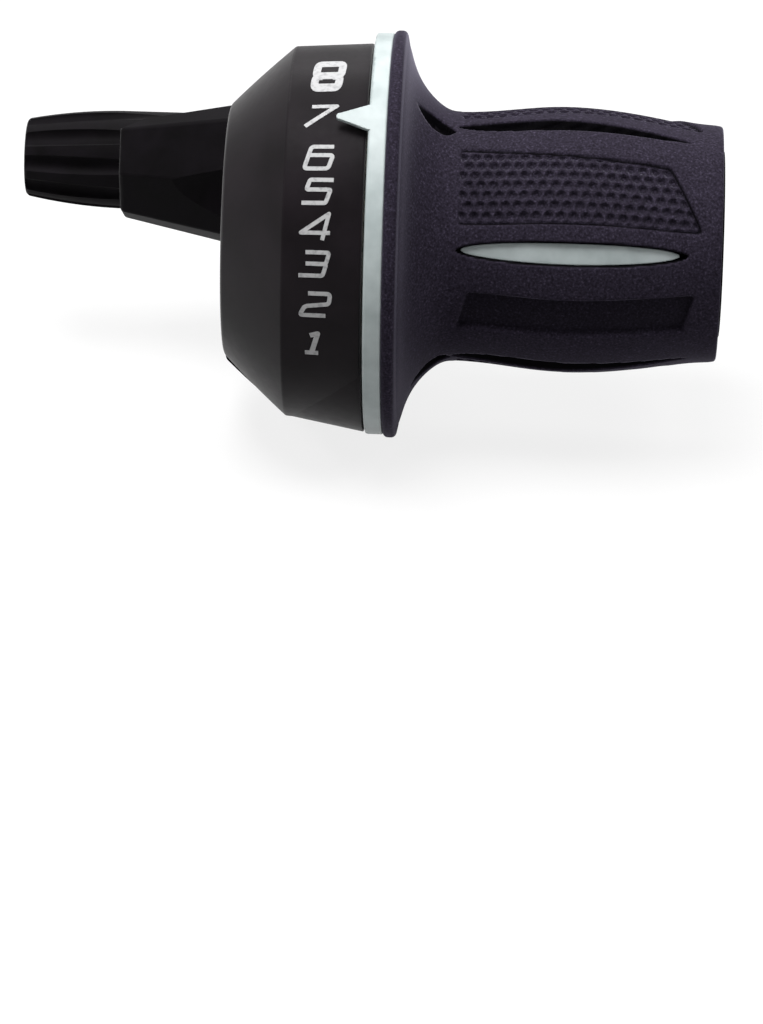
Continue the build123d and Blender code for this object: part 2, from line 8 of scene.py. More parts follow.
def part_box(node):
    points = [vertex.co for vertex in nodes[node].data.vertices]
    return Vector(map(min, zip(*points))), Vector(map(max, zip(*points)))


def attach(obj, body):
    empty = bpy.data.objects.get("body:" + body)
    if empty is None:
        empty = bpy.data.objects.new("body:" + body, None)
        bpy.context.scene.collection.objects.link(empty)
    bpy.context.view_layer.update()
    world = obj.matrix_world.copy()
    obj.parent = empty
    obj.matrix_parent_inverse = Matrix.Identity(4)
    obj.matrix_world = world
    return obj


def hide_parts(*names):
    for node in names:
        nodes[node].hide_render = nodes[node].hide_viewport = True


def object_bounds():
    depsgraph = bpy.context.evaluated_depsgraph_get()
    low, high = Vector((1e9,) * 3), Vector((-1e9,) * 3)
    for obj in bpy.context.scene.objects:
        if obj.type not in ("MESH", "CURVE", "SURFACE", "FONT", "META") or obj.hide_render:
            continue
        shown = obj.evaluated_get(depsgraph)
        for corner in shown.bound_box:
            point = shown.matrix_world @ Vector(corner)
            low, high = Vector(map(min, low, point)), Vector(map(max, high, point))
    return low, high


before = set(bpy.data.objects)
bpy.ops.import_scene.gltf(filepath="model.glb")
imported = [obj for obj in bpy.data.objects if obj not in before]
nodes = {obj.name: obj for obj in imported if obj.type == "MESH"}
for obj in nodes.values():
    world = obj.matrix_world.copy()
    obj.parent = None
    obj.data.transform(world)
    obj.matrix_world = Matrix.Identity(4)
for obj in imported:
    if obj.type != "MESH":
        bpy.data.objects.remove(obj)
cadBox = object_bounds()
mm = 0.001                     # the frame is in metres, the sizes below are millimetres
print("frame loaded with", len(nodes), "nodes")


def aroundBar(x, angle, r):    # angle in degrees, from the rider's side up over the top of the bar
    turn = math.radians(angle)
    return Vector((x, -r * math.cos(turn), r * math.sin(turn))) * mm


def turnBetween(angle, other):
    return (angle - other + 180.0) % 360.0 - 180.0


def ease(v):
    v = min(max(v, 0.0), 1.0)
    return v * v * (3.0 - 2.0 * v)


def surfaceOf(nodeName):       # a search tree over a node's triangles
    mesh = nodes[nodeName].data
    return BVHTree.FromPolygons([v.co for v in mesh.vertices], [p.vertices for p in mesh.polygons])


def outerRadius(tree, x, angle, reach=40.0):
    start = aroundBar(x, angle, reach)
    hit = tree.ray_cast(start, Vector((0, -start.y, -start.z)))[0]
    return math.hypot(hit.y, hit.z) / mm if hit else 0.0


def newPiece(name, points, faces, smooth=True):
    mesh = bpy.data.meshes.new(name)
    mesh.from_pydata(points, [], faces)
    mesh.validate()
    mesh.polygons.foreach_set("use_smooth", [smooth] * len(mesh.polygons))
    piece = bpy.data.objects.new(name, mesh)
    bpy.context.scene.collection.objects.link(piece)
    return piece


def linear(hexColour):         # sRGB hex to the linear colour that a shader takes
    parts = [int(hexColour[i:i + 2], 16) / 255 for i in (1, 3, 5)]
    return tuple(p / 12.92 if p <= 0.04045 else ((p + 0.055) / 1.055) ** 2.4 for p in parts) + (1.0,)


def perSize(size):             # texture scale for a pattern whose features are this many millimetres
    return 1.0 / (size * mm)


def spans(source, result):     # settings that carry one range over to another
    return {"From Min": source[0], "From Max": source[1], "To Min": result[0], "To Max": result[1]}


def addNode(tree, kind, settings, links):
    node = tree.nodes.new(kind)
    for name, value in settings.items():
        if isinstance(name, int) or (name in node.inputs and not hasattr(node, name)):
            node.inputs[name].default_value = value
        else:
            setattr(node, name, value)
    for socket, source in links.items():
        tree.links.new(source, node.inputs[socket])
    return node


def sourceOf(node, socket):    # the socket that feeds this one
    return node.inputs[socket].links[0].from_socket


def newMaterial(name, look):   # colour, roughness and relief each follow one of the look's patterns
    material = bpy.data.materials.new(name)
    material.use_nodes = True
    tree = material.node_tree
    tree.nodes.clear()
    shader = addNode(tree, "ShaderNodeBsdfPrincipled", look["surface"], {})
    addNode(tree, "ShaderNodeOutputMaterial", {}, {"Surface": shader.outputs["BSDF"]})
    place = addNode(tree, "ShaderNodeTexCoord", {}, {}).outputs["Object"]
    patterns = {}
    for pattern, (size, settings) in look["patterns"].items():
        noise = addNode(tree, "ShaderNodeTexNoise", {"Scale": perSize(size), **settings}, {"Vector": place})
        patterns[pattern] = noise.outputs["Fac"]
    base = addNode(tree, "ShaderNodeValToRGB", {}, {"Fac": patterns[look["colourBy"]]})
    stops = base.color_ramp.elements
    for i, (at, colour) in enumerate(look["colours"]):
        stop = stops[i] if i < len(stops) else stops.new(at)
        stop.position = at
        stop.color = linear(colour)
    tree.links.new(base.outputs["Color"], shader.inputs["Base Color"])
    rough = addNode(tree, "ShaderNodeMapRange", spans(look.get("roughFrom", (0.0, 1.0)), look["rough"]),
                    {"Value": patterns[look["roughBy"]]})
    tree.links.new(rough.outputs["Result"], shader.inputs["Roughness"])
    if "reliefBy" in look:
        relief = addNode(tree, "ShaderNodeBump",
                         {"Strength": look["strength"], "Distance": look["relief"] * mm},
                         {"Height": patterns[look["reliefBy"]]})
        tree.links.new(relief.outputs["Normal"], shader.inputs["Normal"])
    return material, tree, shader, patterns


# Grip rubber: thermoplastic elastomer from an eroded mould. Matt, purplish charcoal, with a speckle of
# paler grains and a dusty bloom. The grain is about 0.1 mm and is drawn at 0.32 mm so that it shows.
# The grooves and the panel are darkened by the depth of their cuts: in the grooves this is painted shade, black
# from the edge in, and the panel's darker floor is partly its smoother mould finish and partly painted shade.
rubber = {
    "colours": [(0.32, "#1E1A23"), (0.60, "#322D3A"), (0.76, "#4B4556")], "colourBy": "grain",
    "patterns": {"mottle": (5.0, {"Detail": 3.0}), "grain": (0.32, {"Detail": 2.0, "Roughness": 0.6})},
    "rough": (0.58, 0.80), "roughBy": "grain",
    "surface": {"IOR": 1.5, "Specular IOR Level": 0.03, "Sheen Weight": 0.4, "Sheen Roughness": 0.32,
                "Sheen Tint": linear("#C9C4DA")},
    "relief": 0.035, "strength": 0.6, "reliefBy": "grain",
    "mottleShade": (0.86, 1.12), "hollow": 1.1, "hollowFrom": (0.45, 0.95), "hollowShade": (0.65, 1.0),
    "cutFrom": (0.1, 1.4), "cutShade": (1.0, 0.06),
}
# The pads' dimples, in staggered rows, and the dark line along a pad's edge, which ends short of the flare: the
# line is painted shade over the moat that runs there.
# The mesh has both too: the relief sharpens the dimples' rims.
dimple = {
    "pitch": 1.7, "row": 1.5, "wide": 1.5, "lip": 0.46, "deep": 0.34, "relief": 0.26,
    "margin": (0.40, 0.62), "fade": 0.25,
    "edgeAt": 0.19, "edgeHalf": 0.21, "edgeShade": 0.08, "openEnd": (0.9, 0.4),
}
gripRubber, tree, shader, patterns = newMaterial("moulded_elastomer", rubber)
mottleShade = addNode(tree, "ShaderNodeMapRange", spans((0.0, 1.0), rubber["mottleShade"]),
                      {"Value": patterns["mottle"]})
# painted shade: ambient occlusion darkens the base colour in the dimples, grooves and other hollows
hollow = addNode(tree, "ShaderNodeAmbientOcclusion",
                 {"samples": 8, "only_local": True, "Distance": rubber["hollow"] * mm}, {})
hollowShade = addNode(tree, "ShaderNodeMapRange", spans(rubber["hollowFrom"], rubber["hollowShade"]),
                      {"Value": hollow.outputs["AO"]})
# painted shade: the base colour darkens with the depth of a cut, to near black in the grooves
cutDepth = addNode(tree, "ShaderNodeAttribute", {"attribute_name": "cutDepth"}, {})
cutShade = addNode(tree, "ShaderNodeMapRange", spans(rubber["cutFrom"], rubber["cutShade"]),
                   {"Value": cutDepth.outputs["Fac"]})
padSpot = addNode(tree, "ShaderNodeAttribute", {"attribute_name": "padPlace"}, {})
onPad = addNode(tree, "ShaderNodeSeparateXYZ", {}, {"Vector": padSpot.outputs["Vector"]})
# painted shade: a dark line along the pad's edge, where its moat lies in shade, left off at the open end
offEdge = addNode(tree, "ShaderNodeMath", {"operation": "SUBTRACT", 1: dimple["edgeAt"]},
                  {0: onPad.outputs["Z"]})
offEdge = addNode(tree, "ShaderNodeMath", {"operation": "ABSOLUTE"}, {0: offEdge.outputs["Value"]})
edgeShade = addNode(tree, "ShaderNodeMapRange", spans((0.0, dimple["edgeHalf"]), (dimple["edgeShade"], 1.0)),
                    {"Value": offEdge.outputs["Value"]})
openEnd = addNode(tree, "ShaderNodeMapRange", spans(dimple["openEnd"], (0.0, 1.0)),
                  {"Value": onPad.outputs["X"]})
edgeShade = addNode(tree, "ShaderNodeMath", {"operation": "MAXIMUM"},
                    {0: edgeShade.outputs["Result"], 1: openEnd.outputs["Result"]})
shade = mottleShade.outputs["Result"]
for darker in (hollowShade.outputs["Result"], cutShade.outputs["Result"], edgeShade.outputs["Value"]):
    shade = addNode(tree, "ShaderNodeMath", {"operation": "MULTIPLY"}, {0: shade, 1: darker}).outputs["Value"]
tint = addNode(tree, "ShaderNodeVectorMath", {"operation": "SCALE"},
               {"Vector": sourceOf(shader, "Base Color"), "Scale": shade})
tree.links.new(tint.outputs["Vector"], shader.inputs["Base Color"])
rows = addNode(tree, "ShaderNodeMath", {"operation": "DIVIDE", 1: dimple["row"]}, {0: onPad.outputs["Y"]})
odd = addNode(tree, "ShaderNodeMath", {"operation": "ROUND"}, {0: rows.outputs["Value"]})
odd = addNode(tree, "ShaderNodeMath", {"operation": "FLOORED_MODULO", 1: 2.0}, {0: odd.outputs["Value"]})
shift = addNode(tree, "ShaderNodeMath", {"operation": "MULTIPLY", 1: 0.5}, {0: odd.outputs["Value"]})
columns = addNode(tree, "ShaderNodeMath", {"operation": "DIVIDE", 1: dimple["pitch"]},
                  {0: onPad.outputs["X"]})
columns = addNode(tree, "ShaderNodeMath", {"operation": "SUBTRACT"},
                  {0: columns.outputs["Value"], 1: shift.outputs["Value"]})
beside = addNode(tree, "ShaderNodeMath", {"operation": "WRAP", 1: 0.5, 2: -0.5},
                 {0: columns.outputs["Value"]})
above = addNode(tree, "ShaderNodeMath", {"operation": "WRAP", 1: 0.5, 2: -0.5}, {0: rows.outputs["Value"]})
fromMiddle = addNode(tree, "ShaderNodeCombineXYZ", {},
                     {"X": beside.outputs["Value"], "Y": above.outputs["Value"]})
fromMiddle = addNode(tree, "ShaderNodeVectorMath",
                     {"operation": "MULTIPLY", 1: (dimple["pitch"], dimple["row"], 0.0)},
                     {0: fromMiddle.outputs["Vector"]})
away = addNode(tree, "ShaderNodeVectorMath", {"operation": "LENGTH"}, {0: fromMiddle.outputs["Vector"]})
rimR = dimple["wide"] / 2
bowl = addNode(tree, "ShaderNodeMapRange", spans((rimR, rimR - dimple["lip"]), (0.0, 1.0)),
               {"Value": away.outputs["Value"]})
inside = addNode(tree, "ShaderNodeMapRange", spans(dimple["margin"], (0.0, 1.0)),
                 {"Value": onPad.outputs["Z"]})
bowl = addNode(tree, "ShaderNodeMath", {"operation": "MULTIPLY"},
               {0: bowl.outputs["Result"], 1: inside.outputs["Result"]})
rims = addNode(tree, "ShaderNodeBump", {"Strength": 1.0, "Distance": dimple["relief"] * mm, "invert": True},
               {"Height": bowl.outputs["Value"]})
tree.links.new(rims.outputs["Normal"], sourceOf(shader, "Normal").node.inputs["Normal"])

# Floors of the grooves: painted shade, the same elastomer made nearly black, with no bloom, where the groove
# floors lie in shade.
grooveShadeLook = {
    "colours": [(0.45, "#0A080B"), (0.75, "#1A171C")], "colourBy": "mote",
    "patterns": {"mote": (0.6, {"Detail": 4.0})},
    "rough": (0.5, 0.7), "roughBy": "mote",
    "surface": {"Specular IOR Level": 0.04},
}
grooveShadeRubber = newMaterial("groove_shade_elastomer", grooveShadeLook)[0]

# Housing plastic: ABS moulded against a fine spark-eroded steel. Charcoal, satin, with a soft broad shine.
# The erosion pits are 0.05 mm and are drawn at 0.25 mm so that they show.
housing = {
    "colours": [(0.35, "#151114"), (0.65, "#1E191D")], "colourBy": "cloud",
    "patterns": {"cloud": (9.0, {"Detail": 4.0}), "pits": (0.25, {"Detail": 2.0}),
                 "scuff": (1.3, {"Detail": 6.0, "Roughness": 0.7})},
    "rough": (0.36, 0.50), "roughBy": "scuff", "roughFrom": (0.3, 0.7),
    "surface": {"IOR": 1.53, "Specular IOR Level": 0.03, "Sheen Weight": 0.27, "Sheen Roughness": 0.45},
    "relief": 0.012, "strength": 0.5, "reliefBy": "pits",
}
satinAbs = newMaterial("satin_moulded_ABS", housing)[0]

# Cable nose and adjuster: glass-filled nylon. Blacker and a little drier than the housing, with faint
# flow clouds.
nose = {
    "colours": [(0.35, "#0B090B"), (0.68, "#141115")], "colourBy": "cloud",
    "patterns": {"cloud": (6.0, {"Detail": 5.0, "Distortion": 0.8}), "pits": (0.3, {"Detail": 2.0})},
    "rough": (0.56, 0.74), "roughBy": "cloud",
    "surface": {"IOR": 1.53, "Specular IOR Level": 0.04, "Sheen Weight": 0.16, "Sheen Roughness": 0.4},
    "relief": 0.015, "strength": 0.5, "reliefBy": "pits",
}
blackNylon = newMaterial("glass_filled_nylon", nose)[0]

# Grip core: pale grey-green ABS, satin. The ring's edges are rounded by handling, so they catch the light.
core = {
    "colours": [(0.32, "#ABB6B6"), (0.62, "#BFC9C9")], "colourBy": "cloud",
    "patterns": {"cloud": (4.0, {"Detail": 5.0}), "pits": (0.3, {"Detail": 2.0})},
    "rough": (0.34, 0.52), "roughBy": "cloud",
    "surface": {"IOR": 1.53},
    "relief": 0.01, "strength": 0.4, "reliefBy": "pits", "edge": 0.25,
}
greyAbs, tree, shader, patterns = newMaterial("grey_moulded_ABS", core)
rounded = addNode(tree, "ShaderNodeBevel", {"samples": 6, "Radius": core["edge"] * mm}, {})
tree.links.new(rounded.outputs["Normal"], sourceOf(shader, "Normal").node.inputs["Normal"])

# Inner wearing parts: natural acetal. Milky white and waxy, with a slight yellow cast and faint clouds.
acetal = {
    "colours": [(0.0, "#D9D5C8"), (1.0, "#E8E5DA")], "colourBy": "cloud",
    "patterns": {"cloud": (3.0, {"Detail": 4.0})},
    "rough": (0.28, 0.42), "roughBy": "cloud",
    "surface": {"IOR": 1.48},
}
naturalAcetal = newMaterial("natural_acetal", acetal)[0]

# Screw, nut, clip and springs: zinc-plated steel. Cool grey metal with a cloudy bloom and a fine grain.
zinc = {
    "colours": [(0.0, "#8E9295"), (1.0, "#B9BDC0")], "colourBy": "bloom",
    "patterns": {"bloom": (1.6, {"Detail": 5.0}), "grain": (0.15, {"Detail": 1.0})},
    "rough": (0.22, 0.44), "roughBy": "grain",
    "surface": {"Metallic": 1.0},
}
zincSteel = newMaterial("zinc_plated_steel", zinc)[0]

# Threaded insert: turned free-cutting brass, warm yellow with a little tarnish.
brass = {
    "colours": [(0.0, "#A98545"), (1.0, "#CDAA62")], "colourBy": "tarnish",
    "patterns": {"tarnish": (1.2, {"Detail": 5.0})},
    "rough": (0.2, 0.4), "roughBy": "tarnish",
    "surface": {"Metallic": 1.0},
}
turnedBrass = newMaterial("turned_brass", brass)[0]

# Dial numbers: pad-printed white ink. Flat, slightly thin and uneven, so the charcoal greys it in places.
ink = {
    "colours": [(0.30, "#98989A"), (0.52, "#B9B9BA")], "colourBy": "patch",
    "patterns": {"patch": (0.6, {"Detail": 3.0})},
    "rough": (0.45, 0.65), "roughBy": "patch",
    "surface": {},
}
padInk = newMaterial("pad_printed_ink", ink)[0]
print("materials made")

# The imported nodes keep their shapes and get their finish
finishes = {
    "mandrel": blackNylon, "barrel_adjuster": blackNylon, "housing_cover": satinAbs, "grip_core": greyAbs,
    "index_ring": naturalAcetal, "cable_guide": naturalAcetal, "thrust_washer": naturalAcetal,
    "cable_spool": naturalAcetal, "clamp_screw": zincSteel, "clamp_nut": zincSteel,
    "retaining_clip": zincSteel, "detent_spring": zincSteel, "adjuster_washer": zincSteel,
    "adjuster_spring": zincSteel, "adjuster_insert": turnedBrass, "rubber_grip": gripRubber,
}
for nodeName, material in finishes.items():
    slots = nodes[nodeName].data.materials
    slots.clear()
    slots.append(material)
print("finishes on", len(finishes), "nodes")

# Rubber sleeve: the node's own outline, with soft-edged cuts and real dimples in the pads. Angles are in
# degrees round the bar, and each groove has its angle, its half width and its lean.
sleeve = {
    "grooves": [(83.6, 1.3, -2.65), (144, 1.3, 0), (202, 1.3, 0), (260, 1.3, 0), (314.6, 1.7, 0)],
    "grooveX": (31.9, 64.4), "grooveDepth": 1.5, "grooveWall": 0.35, "grooveBlunt": 0.6, "grooveSkew": 0.4,
    "grooveBlack": 5.0, "floorDepth": 1.1,
    "scoopTurn": -2.1, "scoopX": (26.2, 31.8), "scoopHalf": 1.7, "scoopDepth": 1.6, "scoopWall": 0.55,
    "windowAngle": 19.6, "windowX": (32.3, 63.9), "windowHalf": 1.75, "windowDepth": 1.6,
    "windowWall": 0.25, "windowBlunt": 0.5,
    "padAngles": [49.6, 113, 173, 231, 289.2], "padHalf": 5.7, "padTop": 6.1, "padEnd": 4.1,
    "padX": 32.0, "padTopEnd": 61.4, "padLowEnd": 66.2, "padDepth": (0.05, 0.34), "padCorner": 0.35,
    "moat": 0.45, "moatWide": 0.42, "moatFade": 0.5,
    "panelAngle": -10.0, "panelX": (33.05, 64.45), "panelHalf": 3.1, "panelSlant": 0.75, "panelDepth": 0.8,
    "panelCorner": 0.2, "wall": 0.3, "reachTurn": 14,
}
# Mesh of the sleeve: how the outline is sampled, the steps along the bar and round it, the spans round the
# cuts that get the fine steps, and the shares at which the end faces and the bore are divided
weave = {
    "samples": 1500, "sampleTurn": 7, "inset": 0.005, "evenFrom": 24.6, "evenReach": 24, "boreGap": 0.5,
    "rimEnd": 24.8, "gripX": (31.4, 67.0), "endEdge": 67.9,
    "rimStep": 0.15, "flareStep": 0.4, "fineStep": 0.235, "fineTurn": 0.76, "plainTurn": 1.6,
    "grooveSpan": 9.0, "padSpan": 20.5, "windowSpan": 7.0, "panelSpan": 11.5,
    "inboardShares": (0.0, 0.5, 0.9), "outboardShares": (0.6, 0.0), "boreShares": (0.33, 0.66),
}


def leafCut(x, s, ends, half, depth, wall, blunt=1.0, skew=0.0):     # a long leaf with rounded walls
    along = (2 * x - ends[0] - ends[1]) / (ends[1] - ends[0])
    if abs(along) >= 1:
        return 0.0
    return depth * ease((half * (1 - along * along) ** blunt * (1 - skew * along) - abs(s)) / wall)


def insideOf(sides, corner):                     # distance into a shape with straight sides and round corners
    return -corner * math.log(sum(math.exp(side / corner) for side in sides))


def padPlace(x, angle, r):                       # along the nearest pad, across it, and in from its edge
    turn = min((turnBetween(angle, pad) for pad in sleeve["padAngles"]), key=abs)
    s = math.radians(turn) * r
    half, lean = sleeve["padHalf"], sleeve["padLowEnd"] - sleeve["padTopEnd"]
    tall = half + sleeve["padEnd"]
    along = (x - sleeve["padX"]) / (sleeve["padTopEnd"] - sleeve["padX"])
    top = s - sleeve["padTop"] - (sleeve["padEnd"] - sleeve["padTop"]) * along
    slant = ((x - sleeve["padLowEnd"]) * tall + (s + half) * lean) / math.hypot(tall, lean)
    return x - sleeve["padX"], s, insideOf([sleeve["padX"] - x, top, -half - s, slant], sleeve["padCorner"])


def padCut(x, s, within):                        # a sunk pad with a line along its edge and dimples
    if within < 0:
        return 0.0
    shallow, deep = sleeve["padDepth"]
    along = min(max(x / (sleeve["padTopEnd"] - sleeve["padX"]), 0.0), 1.0)
    step = ease(within / sleeve["wall"])
    line = step * (1 - ease((within - 0.5 * sleeve["moatWide"]) / sleeve["wall"]))
    line *= ease((x - sleeve["moatWide"]) / sleeve["moatFade"])
    row = round(s / dimple["row"])
    shift = 0.5 * dimple["pitch"] * (row % 2)
    column = round((x - shift) / dimple["pitch"])
    away = math.hypot(x - shift - column * dimple["pitch"], s - row * dimple["row"])
    bowl = ease((dimple["wide"] / 2 - away) / dimple["lip"])
    bowl *= ease((within - dimple["margin"][0]) / dimple["fade"])
    return (shallow + (deep - shallow) * along) * step + sleeve["moat"] * line + dimple["deep"] * bowl


def panelCut(x, angle, r):
    turn = turnBetween(angle, sleeve["panelAngle"])
    if abs(turn) > sleeve["reachTurn"]:
        return 0.0
    s = math.radians(turn) * r
    lean = sleeve["panelSlant"] * s / sleeve["panelHalf"]
    sides = [sleeve["panelX"][0] + lean - x, x - sleeve["panelX"][1] - lean,
             s - sleeve["panelHalf"], -sleeve["panelHalf"] - s]
    return sleeve["panelDepth"] * ease(insideOf(sides, sleeve["panelCorner"]) / sleeve["wall"])


def grooveCut(x, angle, r):                      # grooves, scoops and the window
    depth = 0.0
    middle = sum(sleeve["grooveX"]) / 2
    for groove, half, lean in sleeve["grooves"]:
        turn = turnBetween(angle, groove)
        if abs(turn) < sleeve["reachTurn"]:
            s = math.radians(turn) * r - math.tan(math.radians(lean)) * (x - middle)
            depth = max(depth, leafCut(x, s, sleeve["grooveX"], half, sleeve["grooveDepth"],
                                       sleeve["grooveWall"], sleeve["grooveBlunt"], sleeve["grooveSkew"]))
            s = math.radians(turn - sleeve["scoopTurn"]) * r
            depth = max(depth, leafCut(x, s, sleeve["scoopX"], sleeve["scoopHalf"], sleeve["scoopDepth"],
                                       sleeve["scoopWall"]))
    turn = turnBetween(angle, sleeve["windowAngle"])
    return max(depth, leafCut(x, math.radians(turn) * r, sleeve["windowX"], sleeve["windowHalf"],
                              sleeve["windowDepth"], sleeve["windowWall"], sleeve["windowBlunt"]))


rubberTree = surfaceOf("rubber_grip")
low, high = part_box("rubber_grip")
startX, endX = low.x / mm, high.x / mm
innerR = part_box("retaining_clip")[1].z / mm + weave["boreGap"]   # the bore lies on the core, outside the clip
outline = []
for i in range(weave["samples"] + 1):
    x = startX + weave["inset"] + (endX - startX - 2 * weave["inset"]) * i / weave["samples"]
    outline.append((x, max(outerRadius(rubberTree, x, turn) for turn in range(0, 360, weave["sampleTurn"]))))
smoothed = []
for i, (x, r) in enumerate(outline):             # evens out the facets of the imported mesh
    reach = 0 if x < weave["evenFrom"] else min(weave["evenReach"], i, weave["samples"] - i)
    smoothed.append((x, sum(p[1] for p in outline[i - reach:i + reach + 1]) / (2 * reach + 1)))
stations = [smoothed[0]]
for x, r in smoothed[1:-1]:
    step = weave["rimStep"] if x < weave["rimEnd"] or x > weave["endEdge"] else weave["flareStep"]
    if weave["gripX"][0] < x < weave["gripX"][1]:
        step = weave["fineStep"]
    if math.hypot(x - stations[-1][0], r - stations[-1][1]) >= step:
        stations.append((x, r))
stations.append(smoothed[-1])
inboardFace = [(startX, innerR + (stations[0][1] - innerR) * t) for t in weave["inboardShares"]]
outboardFace = [(endX, innerR + (stations[-1][1] - innerR) * t) for t in weave["outboardShares"]]
bore = [(endX - (endX - startX) * t, innerR) for t in weave["boreShares"]]
loop = inboardFace + stations + outboardFace + bore
firstOuter, lastOuter = len(inboardFace), len(inboardFace) + len(stations)

busy = [(groove[0], weave["grooveSpan"]) for groove in sleeve["grooves"]]
busy += [(pad, weave["padSpan"]) for pad in sleeve["padAngles"]]
busy += [(sleeve["windowAngle"], weave["windowSpan"]), (sleeve["panelAngle"], weave["panelSpan"])]
turns = [-180.0]
while turns[-1] < 180.0 - weave["plainTurn"]:
    fine = any(abs(turnBetween(turns[-1], middle)) < span for middle, span in busy)
    turns.append(turns[-1] + (weave["fineTurn"] if fine else weave["plainTurn"]))

points, grooves, shades, places = [], [], [], []
for k, (x, r) in enumerate(loop):
    outside = firstOuter <= k < lastOuter
    for turn in turns:
        grooves.append(grooveCut(x, turn, r) if outside else 0.0)
        panel = panelCut(x, turn, r) if outside else 0.0
        shades.append(max(grooves[-1] * sleeve["grooveBlack"], panel))     # painted shade: a groove is black from its edge
        places.append(padPlace(x, turn, r) if outside else (0.0, 0.0, -1.0))
        points.append(aroundBar(x, turn, r - max(grooves[-1], panel, padCut(*places[-1]))))
faces = []
ring = len(turns)
for k in range(len(loop)):
    near, far = k * ring, (k + 1) % len(loop) * ring
    for j in range(ring):
        beside = (j + 1) % ring
        faces.append((near + j, far + j, far + beside, near + beside))
rubberSleeve = newPiece("rubber_sleeve", points, faces)
rubberSleeve.data.materials.append(gripRubber)
rubberSleeve.data.materials.append(grooveShadeRubber)
rubberSleeve.data.attributes.new("cutDepth", "FLOAT", "POINT").data.foreach_set("value", shades)
padPlaces = rubberSleeve.data.attributes.new("padPlace", "FLOAT_VECTOR", "POINT")
padPlaces.data.foreach_set("vector", [v for spot in places for v in spot])
# painted shade: faces deep in a groove get the black groove-floor material
for face in rubberSleeve.data.polygons:
    face.material_index = int(min(grooves[v] for v in face.vertices) > sleeve["floorDepth"])
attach(rubberSleeve, "grip")
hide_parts("rubber_grip")
print("rubber sleeve:", len(faces) * 2, "triangles from", len(stations), "stations and", ring, "turns")

# Dial numbers on the band, as strokes in millimetres: along the bar, and up round the band
dial = {
    "centreX": 13.5, "rise": 0.05, "lap": 0.01, "sink": 0.06, "step": 0.3, "arcParts": 5, "mitre": 0.5,
    "angles": {1: -9.6, 2: 3.8, 3: 16.4, 4: 27.7, 5: 38.2, 6: 48.6, 7: 62.6, 8: 80.9},
    "line": {1: 0.7, 2: 0.58, 3: 0.56, 4: 0.55, 5: 0.58, 6: 0.58, 7: 0.6, 8: 1.06},
    "bend": {1: 0.05, 2: 0.45, 3: 0.35, 4: 0.05, 5: 0.3, 6: 0.45, 7: 0.05, 8: 0.6},
    "tall": {8: 1.6},                            # the last number is drawn taller round the band
    "strokes": {
        1: [[(-0.6, 1.35), (0.45, 1.72), (-0.38, -1.5)], [(-1.3, -1.55), (0.52, -1.55)]],
        2: [[(-0.9, 1.63), (2.1, 1.67), (1.95, 0.2), (-1.35, -0.25), (-2.0, -1.58), (1.5, -1.55)]],
        3: [[(-1.35, 1.6), (1.85, 1.63), (1.45, 0.06), (-1.3, 0.05)],
            [(0.8, 0.05), (1.5, 0.05), (1.02, -1.57), (-2.25, -1.6)]],
        4: [[(1.9, -0.86), (-2.05, -0.9), (1.68, 1.72), (0.85, -1.86)]],
        5: [[(2.15, 1.57), (-1.05, 1.57), (-1.5, 0.2), (1.78, 0.22), (1.15, -1.63), (-2.1, -1.63)]],
        6: [[(2.0, 1.64), (-1.05, 1.64), (-1.95, -1.57), (1.3, -1.57), (1.92, 0.38), (-1.38, 0.38)]],
        7: [[(-1.32, 1.85), (2.05, 1.92), (-2.12, -1.52)]],
        8: [[(0.8, 1.97), (2.5, 1.97), (2.3, 0.0), (-1.15, 0.0), (-0.9, 1.97), (0.8, 1.97)],
            [(1.2, -0.12), (2.2, -0.12), (1.98, -1.69), (-1.3, -1.69), (-1.14, -0.12), (-0.2, -0.12)]],
    },
}


def roundedPath(corners, bend):                  # rounds the corners and divides the runs of a stroke
    path = [Vector(corners[0])]
    for before, corner, after in zip(corners, corners[1:], corners[2:]):
        before, corner, after = Vector(before), Vector(corner), Vector(after)
        leave = corner + (before - corner).normalized() * bend
        meet = corner + (after - corner).normalized() * bend
        for part in range(dial["arcParts"] + 1):
            t = part / dial["arcParts"]
            path.append(leave * (1 - t) ** 2 + corner * 2 * t * (1 - t) + meet * t * t)
    path.append(Vector(corners[-1]))
    fine = [path[0]]
    for target in path[1:]:
        start = fine[-1].copy()
        parts = max(1, math.ceil((target - start).length / dial["step"]))
        fine += [start.lerp(target, (i + 1) / parts) for i in range(parts)]
    return fine


bandTree = surfaceOf("housing_cover")
for number, strokes in dial["strokes"].items():
    points, faces = [], []
    half, tall = dial["line"][number] / 2, dial["tall"].get(number, 1.0)
    for layer, corners in enumerate(strokes):
        rise = dial["rise"] - dial["lap"] * layer
        path = roundedPath(corners, dial["bend"][number])
        start = len(points)
        for i, spot in enumerate(path):
            before = (spot - path[i - 1]).normalized() if i else (path[1] - spot).normalized()
            after = (path[i + 1] - spot).normalized() if i + 1 < len(path) else before
            along = (before + after).normalized()
            side = Vector((-along.y, along.x)) * half / max(along.dot(before), dial["mitre"])
            for edge in (spot + side, spot - side):
                x = dial["centreX"] + edge.x
                r = outerRadius(bandTree, x, dial["angles"][number])
                turn = dial["angles"][number] + math.degrees(edge.y * tall / r)
                points += [aroundBar(x, turn, r + rise), aroundBar(x, turn, r - dial["sink"])]
        for i in range(len(path) - 1):
            a, b = start + 4 * i, start + 4 * i + 4
            faces += [(a + 2, b + 2, b, a), (a, b, b + 1, a + 1), (a + 3, b + 3, b + 2, a + 2),
                      (a + 1, b + 1, b + 3, a + 3)]
        end = start + 4 * (len(path) - 1)
        if corners[0] != corners[-1]:            # a closed stroke has no ends to cap
            faces += [(start + 1, start + 3, start + 2, start), (end + 2, end + 3, end + 1, end)]
    digit = newPiece("dial_number_" + str(number), points, faces, smooth=False)
    digit.data.materials.append(padInk)
    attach(digit, "housing")
print("dial numbers drawn")

